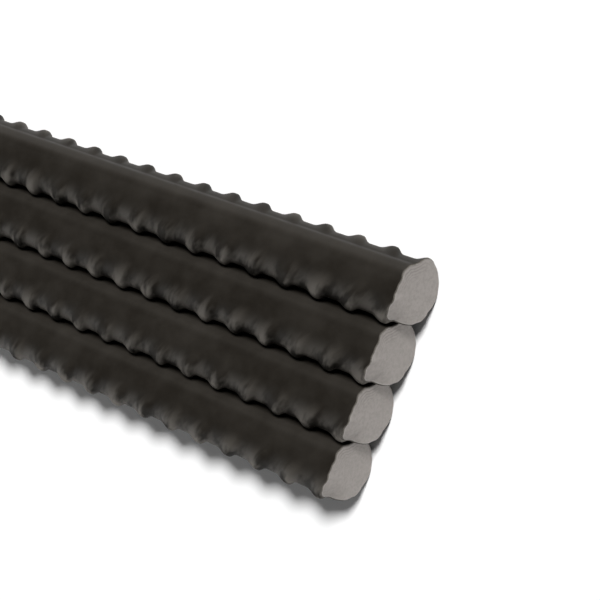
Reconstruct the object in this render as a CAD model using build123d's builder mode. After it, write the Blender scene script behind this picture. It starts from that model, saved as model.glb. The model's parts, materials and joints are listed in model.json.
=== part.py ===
"""A flat bundle of deformed steel reinforcing bars, lying side by side on the floor.

Each bar was hot rolled in one piece and cut to stock length, so each bar is one solid.
The frame has +X along the bars, +Y across the bundle and +Z up. The origin is on the
floor, under the middle of the bundle.
"""

import os

from build123d import *

# Driving dimensions, in millimetres and degrees
bar_count = 4
nominal_diameter = 25.0  # round body of a bar, the size it is sold by
bar_length = 1000.0  # stock length
bar_gap = 0.4  # between the round bodies of neighbours, held open by their transverse ribs
end_step = 7.0  # how far the ends of each bar lie behind those of the bar before it
long_rib_width = 2.4  # across a longitudinal rib
long_rib_height = 1.0  # from the round body to a longitudinal rib's crest
long_rib_root_radius = 1.2  # fillet where a longitudinal rib runs out into the body
long_rib_lean = 59.0  # from straight up to the upper longitudinal rib, towards +Y
end_chamfer = 0.4  # edge left by the shear at both ends of a bar

# Places that follow from the sizes above
LONG_RIBS = 2
body_radius = nominal_diameter / 2
bar_pitch = nominal_diameter + bar_gap
crest_radius = long_rib_width / 2
crest_centre = body_radius + long_rib_height - crest_radius


def bar_plane(number: int) -> Plane:
    """Cross-section plane of a bar at mid-length. Bar 1 lies furthest towards +Y and +X."""
    place = (bar_count + 1) / 2 - number
    middle = (place * end_step, place * bar_pitch, body_radius)
    return Plane(origin=middle, x_dir=(0, 1, 0), z_dir=(1, 0, 0))


def rolled_bar(number: int) -> Part:
    """One bar: a round body with two opposite longitudinal ribs, run to stock length."""
    with BuildPart() as bar:
        with BuildSketch(bar_plane(number)) as section:
            Circle(body_radius)
            with PolarLocations(crest_centre, LONG_RIBS, start_angle=90 - long_rib_lean):
                Circle(crest_radius)
            fillet(section.vertices(), radius=long_rib_root_radius)
        extrude(amount=bar_length / 2, both=True)
        cut_ends = bar.faces().filter_by(Axis.X)
        chamfer(cut_ends.edges(), length=end_chamfer)
    bar.part.label = f"rebar_{number}"
    return bar.part


os.makedirs("parts", exist_ok=True)
for number in range(1, bar_count + 1):
    rebar = rolled_bar(number)
    export_step(rebar, f"parts/{rebar.label}.step")
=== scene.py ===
"""Dresses the rebar bundle: hot-rolled ribbed bars in dark mill scale with pale sheared ends."""

import json
import logging
import math
from dataclasses import dataclass, field
from enum import Enum

import bmesh
import bpy
import numpy as np
from mathutils import Matrix, Vector


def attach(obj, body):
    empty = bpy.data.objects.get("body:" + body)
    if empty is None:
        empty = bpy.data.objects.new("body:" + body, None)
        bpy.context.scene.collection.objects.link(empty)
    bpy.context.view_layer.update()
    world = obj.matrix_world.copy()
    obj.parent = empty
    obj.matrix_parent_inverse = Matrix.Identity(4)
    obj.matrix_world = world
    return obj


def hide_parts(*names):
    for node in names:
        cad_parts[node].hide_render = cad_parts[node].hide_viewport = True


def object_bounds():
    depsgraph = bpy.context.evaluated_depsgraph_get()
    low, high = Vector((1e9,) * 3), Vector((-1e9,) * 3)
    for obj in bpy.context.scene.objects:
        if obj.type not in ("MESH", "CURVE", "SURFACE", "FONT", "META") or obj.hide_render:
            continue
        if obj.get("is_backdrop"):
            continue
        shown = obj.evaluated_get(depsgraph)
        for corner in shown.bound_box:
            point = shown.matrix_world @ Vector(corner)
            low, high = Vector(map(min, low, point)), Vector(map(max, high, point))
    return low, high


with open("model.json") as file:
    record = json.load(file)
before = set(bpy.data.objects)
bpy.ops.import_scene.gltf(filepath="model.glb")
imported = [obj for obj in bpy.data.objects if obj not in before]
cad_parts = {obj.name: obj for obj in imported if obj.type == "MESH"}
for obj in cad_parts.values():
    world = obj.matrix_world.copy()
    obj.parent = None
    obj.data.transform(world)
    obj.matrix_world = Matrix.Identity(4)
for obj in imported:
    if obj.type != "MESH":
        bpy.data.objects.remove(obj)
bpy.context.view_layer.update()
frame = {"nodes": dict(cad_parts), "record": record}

MM = 0.001
QUARTER_TURN = math.pi / 2
HALF_TURN = math.pi
FULL_TURN = 2 * math.pi
LONG_RIBS = 2
RIB_ROWS = 2
MERGE_DISTANCE = 0.001 * MM
CUT_TOLERANCE = 0.0001 * MM
WAVE_RADIANS = 20  # that Blender's wave texture turns through for each unit of its scale
log = logging.getLogger("rebar_bundle")


class BarEnd(Enum):
    """The two sheared ends of a bar, by the side of its middle that they lie on."""

    NEAR = 1
    FAR = -1


class Finish(Enum):
    """Material slots of a bar, in the order they are added."""

    ROLLED = 0
    SHEARED = 1


def linear(code: str) -> tuple[float, float, float, float]:
    """Turns an sRGB hex colour into the linear colour that the shaders take.

    Args:
        code: six hex digits after a hash sign.

    Returns:
        Linear red, green, blue and a full alpha.
    """
    channels = [int(code[i:i + 2], 16) / 255 for i in (1, 3, 5)]
    return (*(c / 12.92 if c <= 0.04045 else ((c + 0.055) / 1.055) ** 2.4 for c in channels), 1.0)


def add_node(tree: bpy.types.NodeTree, kind: str, settings: dict, links: dict) -> bpy.types.Node:
    """Adds a node with its settings and links.

    Args:
        tree: the node tree that gets the node.
        kind: the node's type name.
        settings: values by the name of an input socket or of a property of the node.
        links: output sockets of other nodes by the name of the input they feed.

    Returns:
        The new node.
    """
    node = tree.nodes.new(kind)
    for name, value in settings.items():
        if hasattr(node, name):
            setattr(node, name, value)
        else:
            node.inputs[name].default_value = value
    for name, socket in links.items():
        tree.links.new(socket, node.inputs[name])
    return node


def set_ramp(node: bpy.types.Node, stops: list[tuple[float, tuple]]) -> None:
    """Gives a colour ramp its stops.

    Args:
        node: the colour ramp.
        stops: place along the ramp and linear colour of each stop.
    """
    elements = node.color_ramp.elements
    while len(elements) < len(stops):
        elements.new(1.0)
    for element, (place, colour) in zip(elements, stops):
        element.position = place
        element.color = colour


def smooth_step(value: np.ndarray) -> np.ndarray:
    """Eases values from 0 to 1 with level ends, clamped outside."""
    clamped = np.clip(value, 0.0, 1.0)
    return clamped * clamped * (3 - 2 * clamped)


def turn_between(turn: np.ndarray, start: float) -> np.ndarray:
    """Angle from a start to each turn round the bar, from minus to plus half a turn."""
    return np.mod(turn - start + HALF_TURN, FULL_TURN) - HALF_TURN


@dataclass(frozen=True)
class MillScale:
    """Steel as hot rolled: a dense, warm black oxide with a dull sheen, painted paler grey along its rib
    rows and longitudinal ribs, partly as worn steel and partly as painted light, made paler to lift the
    sides that neighbouring bars shade.
    """

    name: str = "hot_rolled_mill_scale"
    scale_dark: str = "#1e1b17"
    scale_pale: str = "#282521"
    # Pale grey of worn steel and painted light: made paler than the worn steel alone to lift the sides
    # that neighbouring bars shade.
    rubbed_and_painted_light: str = "#8a857e"
    sheen: float = 0.07
    roughness_low: float = 0.42
    roughness_high: float = 0.55
    rubbed_roughness: float = 0.85
    roughness_range: tuple[float, float] = (0.3, 0.7)
    patch_size: float = 14 * MM
    patch_range: tuple[float, float] = (0.36, 0.68)
    grit_size: float = 0.7 * MM
    grit_bump: float = 0.2
    grit_depth: float = 0.1 * MM
    streak_width: float = 8 * MM
    streak_length: float = 18 * MM
    streak_range: tuple[float, float] = (0.43, 0.56)

    def material(self) -> bpy.types.Material:
        """Builds the material, which reads Object coordinates and the bars' own attributes."""
        material = bpy.data.materials.new(self.name)
        material.use_nodes = True
        tree = material.node_tree
        shader = tree.nodes["Principled BSDF"]
        shader.inputs["Specular IOR Level"].default_value = self.sheen
        place = add_node(tree, "ShaderNodeTexCoord", {}, {})
        patches = add_node(
            tree, "ShaderNodeTexNoise",
            {"Scale": 1 / self.patch_size, "Detail": 5.0, "Roughness": 0.6},
            {"Vector": place.outputs["Object"]})
        scale = add_node(tree, "ShaderNodeValToRGB", {}, {"Fac": patches.outputs["Fac"]})
        dark_end, pale_end = self.patch_range
        set_ramp(scale, [(dark_end, linear(self.scale_dark)), (pale_end, linear(self.scale_pale))])
        grit = add_node(
            tree, "ShaderNodeTexNoise",
            {"Scale": 1 / self.grit_size, "Detail": 3.0, "Roughness": 0.65},
            {"Vector": place.outputs["Object"]})
        # Rib-row mask: pale grey of worn steel and painted light, broken into streaks.
        rows = add_node(tree, "ShaderNodeAttribute", {"attribute_name": "rub"}, {})
        rolled = add_node(tree, "ShaderNodeAttribute", {"attribute_name": "roll"}, {})
        along = add_node(
            tree, "ShaderNodeMapping", {"Scale": (1 / self.streak_width, 1 / self.streak_length, 1)},
            {"Vector": rolled.outputs["Vector"]})
        streaks = add_node(
            tree, "ShaderNodeTexNoise", {"Scale": 1.0, "Detail": 3.0, "Roughness": 0.5},
            {"Vector": along.outputs["Vector"]})
        unrubbed_and_unlit, rubbed_and_painted_light = self.streak_range
        rub_and_light_streaks = add_node(
            tree, "ShaderNodeMapRange", {"From Min": unrubbed_and_unlit, "From Max": rubbed_and_painted_light},
            {"Value": streaks.outputs["Fac"]})
        streaked = add_node(
            tree, "ShaderNodeMath", {"operation": "MULTIPLY"},
            {0: rows.outputs["Fac"], 1: rub_and_light_streaks.outputs["Result"]})
        # Longitudinal-rib mask: a little worn steel and painted light that lifts the upper side which the
        # bar above shades.
        band = add_node(tree, "ShaderNodeAttribute", {"attribute_name": "band"}, {})
        wear_and_light = add_node(
            tree, "ShaderNodeMath", {"operation": "MAXIMUM"},
            {0: streaked.outputs["Value"], 1: band.outputs["Fac"]})
        colour = add_node(
            tree, "ShaderNodeMix", {"data_type": "RGBA"}, {"Factor": wear_and_light.outputs["Value"]})
        tree.links.new(scale.outputs["Color"], colour.inputs["A"])
        colour.inputs["B"].default_value = linear(self.rubbed_and_painted_light)
        smooth, coarse = self.roughness_range
        rough = add_node(
            tree, "ShaderNodeMapRange",
            {"From Min": smooth, "From Max": coarse,
             "To Min": self.roughness_low, "To Max": self.roughness_high},
            {"Value": patches.outputs["Fac"]})
        bump = add_node(
            tree, "ShaderNodeBump", {"Strength": self.grit_bump, "Distance": self.grit_depth},
            {"Height": grit.outputs["Fac"]})
        tree.links.new(colour.outputs["Result"], shader.inputs["Base Color"])
        dulled = add_node(
            tree, "ShaderNodeMix", {"data_type": "FLOAT"}, {"Factor": rows.outputs["Fac"]})
        tree.links.new(rough.outputs["Result"], dulled.inputs["A"])
        dulled.inputs["B"].default_value = self.rubbed_roughness
        tree.links.new(dulled.outputs["Result"], shader.inputs["Roughness"])
        tree.links.new(bump.outputs["Normal"], shader.inputs["Normal"])
        return material


@dataclass(frozen=True)
class ShearedSteel:
    """Bare steel where the shear parted the bar: pale, matt and torn, with painted shade in its fold lines
    and a painted highlight round its edge.
    """

    name: str = "sheared_bare_steel"
    face: str = "#8d8884"
    torn: str = "#837e7a"
    # Painted highlight round the edge ring of the cut face.
    rim_highlight: str = "#9a9692"
    # Painted shade in the fold lines of the cut face.
    crease: str = "#6f6a66"
    crease_pitch: float = 1.2 * MM
    crease_range: tuple[float, float] = (0.6, 1.0)
    metal_share: float = 0.55
    roughness: float = 0.55
    tear_size: float = 1.2 * MM
    tear_range: tuple[float, float] = (0.35, 0.6)
    grain_size: float = 0.3 * MM
    grain_bump: float = 0.25
    grain_depth: float = 0.08 * MM

    def material(self) -> bpy.types.Material:
        """Builds the material, which reads Object coordinates and the bars' own attributes."""
        material = bpy.data.materials.new(self.name)
        material.use_nodes = True
        tree = material.node_tree
        shader = tree.nodes["Principled BSDF"]
        shader.inputs["Metallic"].default_value = self.metal_share
        shader.inputs["Roughness"].default_value = self.roughness
        place = add_node(tree, "ShaderNodeTexCoord", {}, {})
        tears = add_node(
            tree, "ShaderNodeTexNoise",
            {"Scale": 1 / self.tear_size, "Detail": 4.0, "Roughness": 0.6},
            {"Vector": place.outputs["Object"]})
        tone = add_node(tree, "ShaderNodeValToRGB", {}, {"Fac": tears.outputs["Fac"]})
        torn_end, face_end = self.tear_range
        set_ramp(tone, [(torn_end, linear(self.torn)), (face_end, linear(self.face))])
        # Painted highlight: paler towards the edge ring of the cut face.
        rim_highlight = add_node(tree, "ShaderNodeAttribute", {"attribute_name": "rub"}, {})
        colour = add_node(
            tree, "ShaderNodeMix", {"data_type": "RGBA"}, {"Factor": rim_highlight.outputs["Fac"]})
        tree.links.new(tone.outputs["Color"], colour.inputs["A"])
        colour.inputs["B"].default_value = linear(self.rim_highlight)
        rolled = add_node(tree, "ShaderNodeAttribute", {"attribute_name": "roll"}, {})
        waves = add_node(
            tree, "ShaderNodeTexWave",
            {"Scale": FULL_TURN / WAVE_RADIANS / self.crease_pitch, "Distortion": 4.0, "Detail": 2.0},
            {"Vector": rolled.outputs["Vector"]})
        line_foot, line_middle = self.crease_range
        lines = add_node(
            tree, "ShaderNodeMapRange", {"From Min": line_foot, "From Max": line_middle},
            {"Value": waves.outputs["Fac"]})
        # Painted shade: darker fold lines where the mask lays them.
        fold_shade_mask = add_node(tree, "ShaderNodeAttribute", {"attribute_name": "crease"}, {})
        shade = add_node(
            tree, "ShaderNodeMath", {"operation": "MULTIPLY"},
            {0: lines.outputs["Result"], 1: fold_shade_mask.outputs["Fac"]})
        toned = add_node(
            tree, "ShaderNodeMix", {"data_type": "RGBA"}, {"Factor": shade.outputs["Value"]})
        tree.links.new(colour.outputs["Result"], toned.inputs["A"])
        toned.inputs["B"].default_value = linear(self.crease)
        grain = add_node(
            tree, "ShaderNodeTexNoise",
            {"Scale": 1 / self.grain_size, "Detail": 2.0, "Roughness": 0.6},
            {"Vector": place.outputs["Object"]})
        bump = add_node(
            tree, "ShaderNodeBump", {"Strength": self.grain_bump, "Distance": self.grain_depth},
            {"Height": grain.outputs["Fac"]})
        tree.links.new(toned.outputs["Result"], shader.inputs["Base Color"])
        tree.links.new(bump.outputs["Normal"], shader.inputs["Normal"])
        return material


@dataclass(frozen=True)
class WhitePaper:
    """Matt white studio paper: no gloss, so it only takes the bundle's shadow."""

    name: str = "matt_white_paper"
    colour: str = "#fdfdfd"

    def material(self) -> bpy.types.Material:
        """Builds the material."""
        material = bpy.data.materials.new(self.name)
        material.use_nodes = True
        shader = material.node_tree.nodes["Principled BSDF"]
        shader.inputs["Base Color"].default_value = linear(self.colour)
        shader.inputs["Roughness"].default_value = 1.0
        shader.inputs["Specular IOR Level"].default_value = 0.0
        return material


@dataclass(frozen=True)
class ShearCut:
    """How a shear leaves a bar's end: drawn back where the blade entered, spread where it left."""

    setback_depth: float = 3.8 * MM
    setback_turn: float = math.radians(-45)
    setback_spread: float = math.radians(50)
    spread_height: float = 1.6 * MM
    spread_length: float = 5.0 * MM
    spread_turn: float = math.radians(165)
    spread_arc: float = math.radians(75)
    spread_fullness: float = 1.6
    edge: float = 0.45 * MM
    tear_depth: float = 0.05 * MM
    tear_width: float = 2.6 * MM
    tear_waves: tuple[float, float, float] = (2.1, 1.7, 1.3)
    face_rings: tuple[float, ...] = (0.93, 0.86, 0.78, 0.68, 0.55, 0.38, 0.2)
    rounding_start: float = 0.35
    ripple_depth: float = 0.22 * MM
    ripple_arc: float = math.radians(95)
    ripples: tuple[int, ...] = (4, 7, 11, 18)
    crease_turn: float = math.radians(70)
    crease_arc: float = math.radians(75)
    crease_reach: float = 9.0 * MM

    def setback(self, turn: np.ndarray) -> np.ndarray:
        """How far the cut is drawn back along the bar at each turn round its edge."""
        reach = np.abs(turn_between(turn, self.setback_turn)) / self.setback_spread
        waves = sum(np.sin(count * turn + count) for count in self.ripples)
        near_entry = smooth_step(1 - np.abs(turn) / self.ripple_arc)
        return self.setback_depth * smooth_step(1 - reach) + self.ripple_depth * waves * near_entry

    def rounding(self, share: float) -> float:
        """Share of the set-back that is left at a share of the radius."""
        return max(0.0, (share - self.rounding_start) / (1 - self.rounding_start)) ** 2

    def tears(self, places: np.ndarray) -> np.ndarray:
        """Low waves that the parting steel leaves on the cut, from the places across it."""
        across, up = places.T / self.tear_width
        run, sway, slant = self.tear_waves
        waves = np.sin(run * across + np.sin(sway * up)) + np.sin(slant * up - across)
        return self.tear_depth * waves

    def fold_shading(self, inset: float, turn: np.ndarray) -> np.ndarray:
        """How strongly painted fold shade lies on the cut at an inset from its edge, for each turn round
        it.
        """
        reach = np.abs(turn_between(turn, self.crease_turn)) / self.crease_arc
        return smooth_step(1 - reach) * smooth_step(1 - inset / self.crease_reach)

    def spread(self, depth: np.ndarray, turn: np.ndarray) -> np.ndarray:
        """How far the steel is spread outwards.

        Args:
            depth: distances behind the cut.
            turn: angles round the bar.

        Returns:
            Heights over the rolled surface.
        """
        reach = np.abs(turn_between(turn, self.spread_turn)) / self.spread_arc
        round_bar = smooth_step(self.spread_fullness * (1 - reach))
        return self.spread_height * round_bar * smooth_step(1 - depth / self.spread_length)


@dataclass
class RolledBar:
    """One deformed bar: a round core, two longitudinal ribs and two chevron rows of crescent ribs."""

    number: int
    core_radius: float = 11.9 * MM
    long_rib_lean: float = math.radians(59)
    long_rib_height: float = 0.8 * MM
    long_rib_crest: float = 2.2 * MM
    long_rib_base: float = 8.4 * MM
    # Share of pale grey on the longitudinal ribs: worn steel plus painted light that lifts the side which
    # the bar above shades.
    long_rib_wear_and_light: float = 0.036
    rib_spacing: float = 16.23 * MM
    rib_height: float = 2.0 * MM
    rib_crest: float = 1.2 * MM
    rib_rear: float = 7.0 * MM
    rib_front: float = 4.1 * MM
    rib_advance: float = 0.66
    row_turn: float = math.radians(-14)
    rib_full: float = math.radians(25)
    rib_reach: float = math.radians(61)
    rib_foot_taper: float = 0.5
    rib_unevenness: float = 0.1
    # How the pale grey of worn steel and painted light spreads over the rib rows, valleys between ribs
    # included.
    rib_wear_and_light_spread: float = 0.7
    valley_wear_and_light: float = 0.5
    row_wear_and_light_fade: float = 2.3
    first_apex: float = 8.0 * MM
    columns: int = 96
    column_crowding: float = 0.45
    rib_rings: tuple[float, ...] = (
        -7.0, -5.9, -4.8, -3.8, -2.8, -1.8, -0.8, 0.2, 1.0, 1.7, 2.4, 3.1, 4.2, 6.6)
    cut: ShearCut = ShearCut()
    ends: dict[BarEnd, Vector] = field(default_factory=dict)

    def __post_init__(self) -> None:
        """Reads where the bar's axis runs from the mounts on its two ends."""
        places = {mount["name"]: Vector(mount["pos_m"]) for mount in frame["record"]["mounts"]}
        for end in BarEnd:
            self.ends[end] = places[f"bar_{self.number}_{end.name.lower()}_end"]
        self.random = np.random.default_rng(self.number)

    @property
    def node(self) -> str:
        """Name of the CAD node that the bar stands for."""
        return f"rebar_{self.number}"

    def stations(self) -> np.ndarray:
        """Places of the mesh rings along the apex line, a few rings to each rib.

        Returns:
            Ring places along X, from beyond the far end to beyond the near end.
        """
        overhang = self.rib_advance * self.core_radius * HALF_TURN
        last_apex = self.ends[BarEnd.NEAR].x - self.first_apex
        start = self.ends[BarEnd.FAR].x - self.rib_spacing
        stop = self.ends[BarEnd.NEAR].x + overhang + self.rib_spacing
        first = math.floor((start - last_apex) / self.rib_spacing)
        last = math.ceil((stop - last_apex) / self.rib_spacing)
        apexes = last_apex + self.rib_spacing * np.arange(first, last)
        return (apexes[:, None] + np.array(self.rib_rings)[None, :] * MM).ravel()

    def relief(self, along: np.ndarray, turn: np.ndarray) -> tuple[np.ndarray, ...]:
        """Works out the rolled surface.

        Args:
            along: places along the apex line.
            turn: angles round the bar from straight up, towards +Y.

        Returns:
            Places along X, radii, and how much pale grey of worn steel and painted light the rib rows and
            the longitudinal ribs take, from 0 to 1.
        """
        lean = turn_between(turn, self.long_rib_lean)
        away = np.abs(lean)
        x = along - self.rib_advance * self.core_radius * away

        steps = (along - (self.ends[BarEnd.NEAR].x - self.first_apex)) / self.rib_spacing
        rib = np.rint(steps).astype(int)
        across = (steps - rib) * self.rib_spacing
        row = (lean > 0).astype(int)
        variety = 1 - self.rib_unevenness * self.random.random((RIB_ROWS, np.ptp(rib) + 1))
        row_lean = np.abs(turn_between(turn, self.long_rib_lean + self.row_turn))
        off_row = np.abs(row_lean - QUARTER_TURN)
        taper = smooth_step((self.rib_reach - off_row) / (self.rib_reach - self.rib_full))
        narrowing = 1 - self.rib_foot_taper * (1 - taper)
        foot = np.where(across < 0, self.rib_rear, self.rib_front) * narrowing
        profile = smooth_step((foot - np.abs(across)) / (foot - self.rib_crest / 2))
        cross_height = self.rib_height * taper * profile * variety[row, rib - rib.min()]

        arc = self.core_radius * np.minimum(away, HALF_TURN - away)
        flank = (self.long_rib_base - self.long_rib_crest) / 2
        long_rib = smooth_step((self.long_rib_base / 2 - arc) / flank)
        radius = self.core_radius + np.maximum(cross_height, self.long_rib_height * long_rib)
        for end, place in self.ends.items():
            spread = self.cut.spread((place.x - x) * end.value, turn)
            radius = np.maximum(radius, self.core_radius + spread)
        # Pale grey over the rib rows, valleys included: partly worn steel, partly painted light for the
        # sides that neighbouring bars shade.
        row_wear_and_light = np.clip(1 - off_row / self.rib_reach, 0.0, 1.0) ** self.row_wear_and_light_fade
        rib_wear_and_light = self.valley_wear_and_light + (1 - self.valley_wear_and_light) * profile ** self.rib_wear_and_light_spread
        return x, radius, row_wear_and_light * rib_wear_and_light, self.long_rib_wear_and_light * long_rib

    def rolled_tube(self) -> bmesh.types.BMesh:
        """Rolls a flat grid into the ribbed tube, longer than the bar at both ends.

        Returns:
            The open tube, with layers for how much worn steel and painted light, where rolled and how much
            painted fold shade each vertex takes.
        """
        stations = self.stations()
        bm = bmesh.new()
        bmesh.ops.create_grid(bm, x_segments=len(stations) - 1, y_segments=self.columns, size=0.5)
        flat = np.array([vert.co for vert in bm.verts])
        along = stations[np.rint((flat[:, 0] + 0.5) * (len(stations) - 1)).astype(int)]
        share = np.mod(np.rint((flat[:, 1] + 0.5) * self.columns) / self.columns, 1.0)
        crowding_turn = LONG_RIBS * FULL_TURN
        crowded = share - self.column_crowding * np.sin(crowding_turn * share) / crowding_turn
        turn = self.long_rib_lean + FULL_TURN * crowded
        x, radius, rub, band = self.relief(along, turn)
        axis = self.ends[BarEnd.NEAR]
        y = axis.y + radius * np.sin(turn)
        z = axis.z + radius * np.cos(turn)
        # Layers for worn steel with painted light, and for painted fold shade.
        rub_and_light_layer = bm.verts.layers.float.new("rub")
        band_wear_and_light_layer = bm.verts.layers.float.new("band")
        roll_layer = bm.verts.layers.float_vector.new("roll")
        bm.verts.layers.float.new("crease")
        arc = self.core_radius * np.abs(turn_between(turn, self.long_rib_lean))
        for i, vert in enumerate(bm.verts):
            vert.co = (x[i], y[i], z[i])
            vert[rub_and_light_layer] = rub[i]
            vert[band_wear_and_light_layer] = band[i]
            vert[roll_layer] = (along[i], arc[i], axis.y)
        bmesh.ops.remove_doubles(bm, verts=bm.verts, dist=MERGE_DISTANCE)
        return bm

    def turns(self, verts: list[bmesh.types.BMVert]) -> np.ndarray:
        """Angles of vertices round the bar's axis, from straight up towards +Y."""
        axis = self.ends[BarEnd.NEAR]
        return np.array([math.atan2(vert.co.y - axis.y, vert.co.z - axis.z) for vert in verts])

    def shift(self, verts: list[bmesh.types.BMVert], steps: np.ndarray) -> None:
        """Moves each vertex along the bar by its own step."""
        for vert, step in zip(verts, steps):
            vert.co.x += step

    def shear(self, bm: bmesh.types.BMesh, end: BarEnd) -> None:
        """Cuts the tube off at one end and closes it with a slightly uneven face, with painted fold shade
        and a painted highlight at its edge ring.

        The tube is pushed out by the cut's set-back, cut by a plane and pulled in again, which
        leaves a curved cut.

        Args:
            bm: the ribbed tube.
            end: the end to cut.
        """
        centre = self.ends[end]
        outward = end.value
        half = [vert for vert in bm.verts if vert.co.x * outward > 0]
        self.shift(half, outward * self.cut.setback(self.turns(half)))
        cut = bmesh.ops.bisect_plane(
            bm, geom=bm.verts[:] + bm.edges[:] + bm.faces[:], dist=CUT_TOLERANCE,
            plane_co=centre - Vector((outward * self.cut.edge, 0, 0)), plane_no=(outward, 0, 0),
            clear_outer=True)
        loop = [item for item in cut["geom_cut"] if isinstance(item, bmesh.types.BMEdge)]
        half = [vert for vert in bm.verts if vert.co.x * outward > 0]
        self.shift(half, -outward * self.cut.setback(self.turns(half)))

        rub_and_light_layer = bm.verts.layers.float["rub"]
        fold_shade_layer = bm.verts.layers.float["crease"]
        roll_layer = bm.verts.layers.float_vector["roll"]
        to_centre = Matrix.Translation(-centre)
        reached = 1.0
        edge_share = 1 - self.cut.edge / self.core_radius
        for share in (edge_share, *self.cut.face_rings):
            on_edge = share == edge_share
            for edge in loop:
                edge.smooth = reached < edge_share
            ring = bmesh.ops.extrude_edge_only(bm, edges=loop)["geom"]
            loop = [item for item in ring if isinstance(item, bmesh.types.BMEdge)]
            verts = [item for item in ring if isinstance(item, bmesh.types.BMVert)]
            shrink = share / reached
            bmesh.ops.scale(bm, vec=(1, shrink, shrink), space=to_centre, verts=verts)
            reached = share
            turn = self.turns(verts)
            inset = (1 - share) * self.core_radius
            fold_shading = self.cut.fold_shading(inset, turn)
            back = self.cut.setback(turn) * self.cut.rounding(share)
            places = np.array([(vert.co.y, vert.co.z) for vert in verts])
            tears = self.cut.tears(places) * (not on_edge)
            for i, vert in enumerate(verts):
                vert.co.x = centre.x - outward * (back[i] + tears[i])
                # The edge ring takes the painted highlight; the inner rings take painted fold shade.
                vert[rub_and_light_layer] = float(on_edge)
                vert[fold_shade_layer] = fold_shading[i]
                vert[roll_layer] = (inset, turn[i] * self.core_radius, centre.y)
            for item in ring:
                if isinstance(item, bmesh.types.BMFace):
                    item.material_index = Finish.ROLLED.value if on_edge else Finish.SHEARED.value
        bmesh.ops.pointmerge(bm, verts=verts, merge_co=centre)

    def build(self, finishes: dict[Finish, bpy.types.Material]) -> bpy.types.Object:
        """Models the bar and hands it to the frame in place of its CAD node.

        Args:
            finishes: the material of each slot.

        Returns:
            The finished bar.
        """
        bm = self.rolled_tube()
        for end in BarEnd:
            self.shear(bm, end)
        bmesh.ops.recalc_face_normals(bm, faces=bm.faces)
        for face in bm.faces:
            face.smooth = True
        mesh = bpy.data.meshes.new(f"ribbed_bar_{self.number}")
        bm.to_mesh(mesh)
        bm.free()
        bar = bpy.data.objects.new(mesh.name, mesh)
        bpy.context.scene.collection.objects.link(bar)
        for slot in Finish:
            mesh.materials.append(finishes[slot])
        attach(bar, "root")
        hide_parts(self.node)
        return bar


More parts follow.
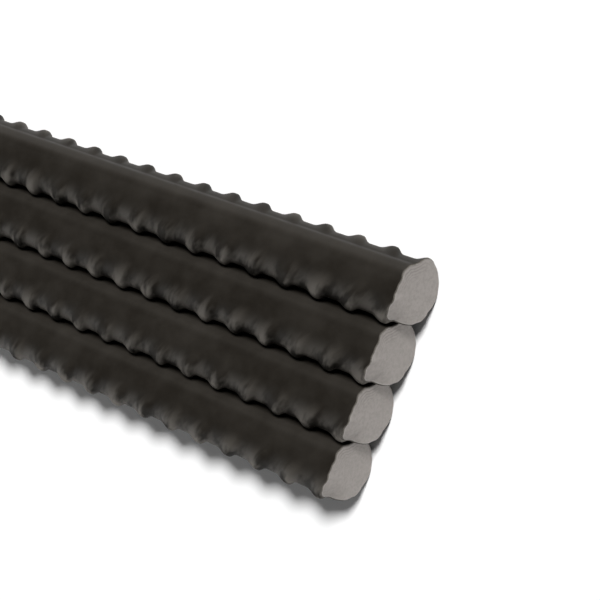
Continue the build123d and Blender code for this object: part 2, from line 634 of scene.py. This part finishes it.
@dataclass
class Studio:
    """White floor, soft key light, low strip light and pale surroundings."""

    floor_size: float = 12.0
    sun_strength: float = 4.45
    sun_angle: float = math.radians(13)
    sun_from: tuple[float, float, float] = (0.42, 0.62, 0.68)
    strip_size: tuple[float, float] = (1.1, 1.1)
    strip_distance: float = 2.0
    strip_from: tuple[float, float, float] = (-0.62, -0.71, 0.33)
    strip_power: float = 8.8
    sky_grey: float = 0.06
    sky_white_height: float = 0.12
    sky_grey_height: float = 0.28

    def lay_floor(self) -> bpy.types.Object:
        """Lays the floor just under the lowest point of the bars.

        Returns:
            The floor, marked as stage.
        """
        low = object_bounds()[0]
        bm = bmesh.new()
        bmesh.ops.create_grid(bm, x_segments=1, y_segments=1, size=self.floor_size / 2)
        bmesh.ops.translate(bm, vec=(0, 0, low[2]), verts=bm.verts)
        mesh = bpy.data.meshes.new("studio_floor")
        bm.to_mesh(mesh)
        bm.free()
        floor = bpy.data.objects.new("studio_floor", mesh)
        bpy.context.scene.collection.objects.link(floor)
        mesh.materials.append(WhitePaper().material())
        floor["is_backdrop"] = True
        return floor

    def hang_sun(self) -> bpy.types.Object:
        """Hangs the soft key light.

        Returns:
            The lamp.
        """
        lamp = bpy.data.lights.new("soft_key", "SUN")
        lamp.energy = self.sun_strength
        lamp.angle = self.sun_angle
        key = bpy.data.objects.new("soft_key", lamp)
        key.rotation_euler = Vector(self.sun_from).to_track_quat("Z", "Y").to_euler()
        bpy.context.scene.collection.objects.link(key)
        return key

    def hang_strip(self) -> bpy.types.Object:
        """Hangs the low strip light that runs a pale sheen along the lower side of each bar.

        Returns:
            The lamp.
        """
        lamp = bpy.data.lights.new("low_strip", "AREA")
        lamp.shape = "RECTANGLE"
        lamp.size, lamp.size_y = self.strip_size
        lamp.energy = self.strip_power
        strip = bpy.data.objects.new("low_strip", lamp)
        toward = Vector(self.strip_from).normalized()
        strip.location = self.strip_distance * toward
        strip.rotation_euler = toward.to_track_quat("Z", "Y").to_euler()
        strip.visible_camera = False
        bpy.context.scene.collection.objects.link(strip)
        return strip

    def surround(self) -> None:
        """Paints the surroundings white along the horizon and grey overhead."""
        world = bpy.data.worlds.new("studio_surroundings")
        world.use_nodes = True
        tree = world.node_tree
        back = tree.nodes["Background"]
        place = add_node(tree, "ShaderNodeTexCoord", {}, {})
        parts = add_node(tree, "ShaderNodeSeparateXYZ", {}, {"Vector": place.outputs["Generated"]})
        shade = add_node(tree, "ShaderNodeValToRGB", {}, {"Fac": parts.outputs["Z"]})
        white = (1.0, 1.0, 1.0, 1.0)
        grey = (self.sky_grey, self.sky_grey, self.sky_grey, 1.0)
        set_ramp(shade, [(self.sky_white_height, white), (self.sky_grey_height, grey), (1.0, grey)])
        tree.links.new(shade.outputs["Color"], back.inputs["Color"])
        bpy.context.scene.world = world


@dataclass
class PhotoView:
    """The camera that took the photograph, found from the lines of the bars and their ends."""

    axis_angle: float = math.radians(51.34)
    side_lean: float = math.radians(22.74)
    roll: float = math.radians(20.43)
    distance: float = 698.9 * MM
    aim: tuple[float, float, float] = (456.49 * MM, 20.38 * MM, 12.5 * MM)
    focal_pixels: float = 1855.1
    frame_pixels: float = 600.0
    film_width: float = 36.0
    clip_start: float = 1 * MM

    def place(self) -> bpy.types.Object:
        """Places the camera and makes it the scene's own.

        Returns:
            The camera.
        """
        along = Vector((1, 0, 0))
        back = Vector((
            math.cos(self.axis_angle),
            math.sin(self.axis_angle) * math.sin(self.side_lean),
            math.sin(self.axis_angle) * math.cos(self.side_lean)))
        bars_run = (along - along.dot(back) * back).normalized()
        bars_cross = (-back).cross(bars_run)
        right = math.cos(self.roll) * bars_run - math.sin(self.roll) * bars_cross
        up = -(math.sin(self.roll) * bars_run + math.cos(self.roll) * bars_cross)
        lens = bpy.data.cameras.new("photo_view")
        lens.sensor_width = self.film_width
        lens.lens = self.film_width * self.focal_pixels / self.frame_pixels
        lens.clip_start = self.clip_start
        camera = bpy.data.objects.new("photo_view", lens)
        turned = Matrix((right, up, back)).transposed().to_4x4()
        camera.matrix_world = Matrix.Translation(Vector(self.aim) + self.distance * back) @ turned
        bpy.context.scene.collection.objects.link(camera)
        bpy.context.scene.camera = camera
        return camera


def main() -> None:
    """Builds the bars, the studio and the camera in order."""
    logging.basicConfig(level=logging.INFO)
    finishes = {Finish.ROLLED: MillScale().material(), Finish.SHEARED: ShearedSteel().material()}
    for number in range(1, len(frame["nodes"]) + 1):
        bar = RolledBar(number).build(finishes)
        log.info("%s: %d faces", bar.name, len(bar.data.polygons))
    studio = Studio()
    studio.lay_floor()
    studio.hang_sun()
    studio.hang_strip()
    studio.surround()
    PhotoView().place()
    bpy.context.scene.view_settings.view_transform = "Standard"


if __name__ == "__main__":
    main()
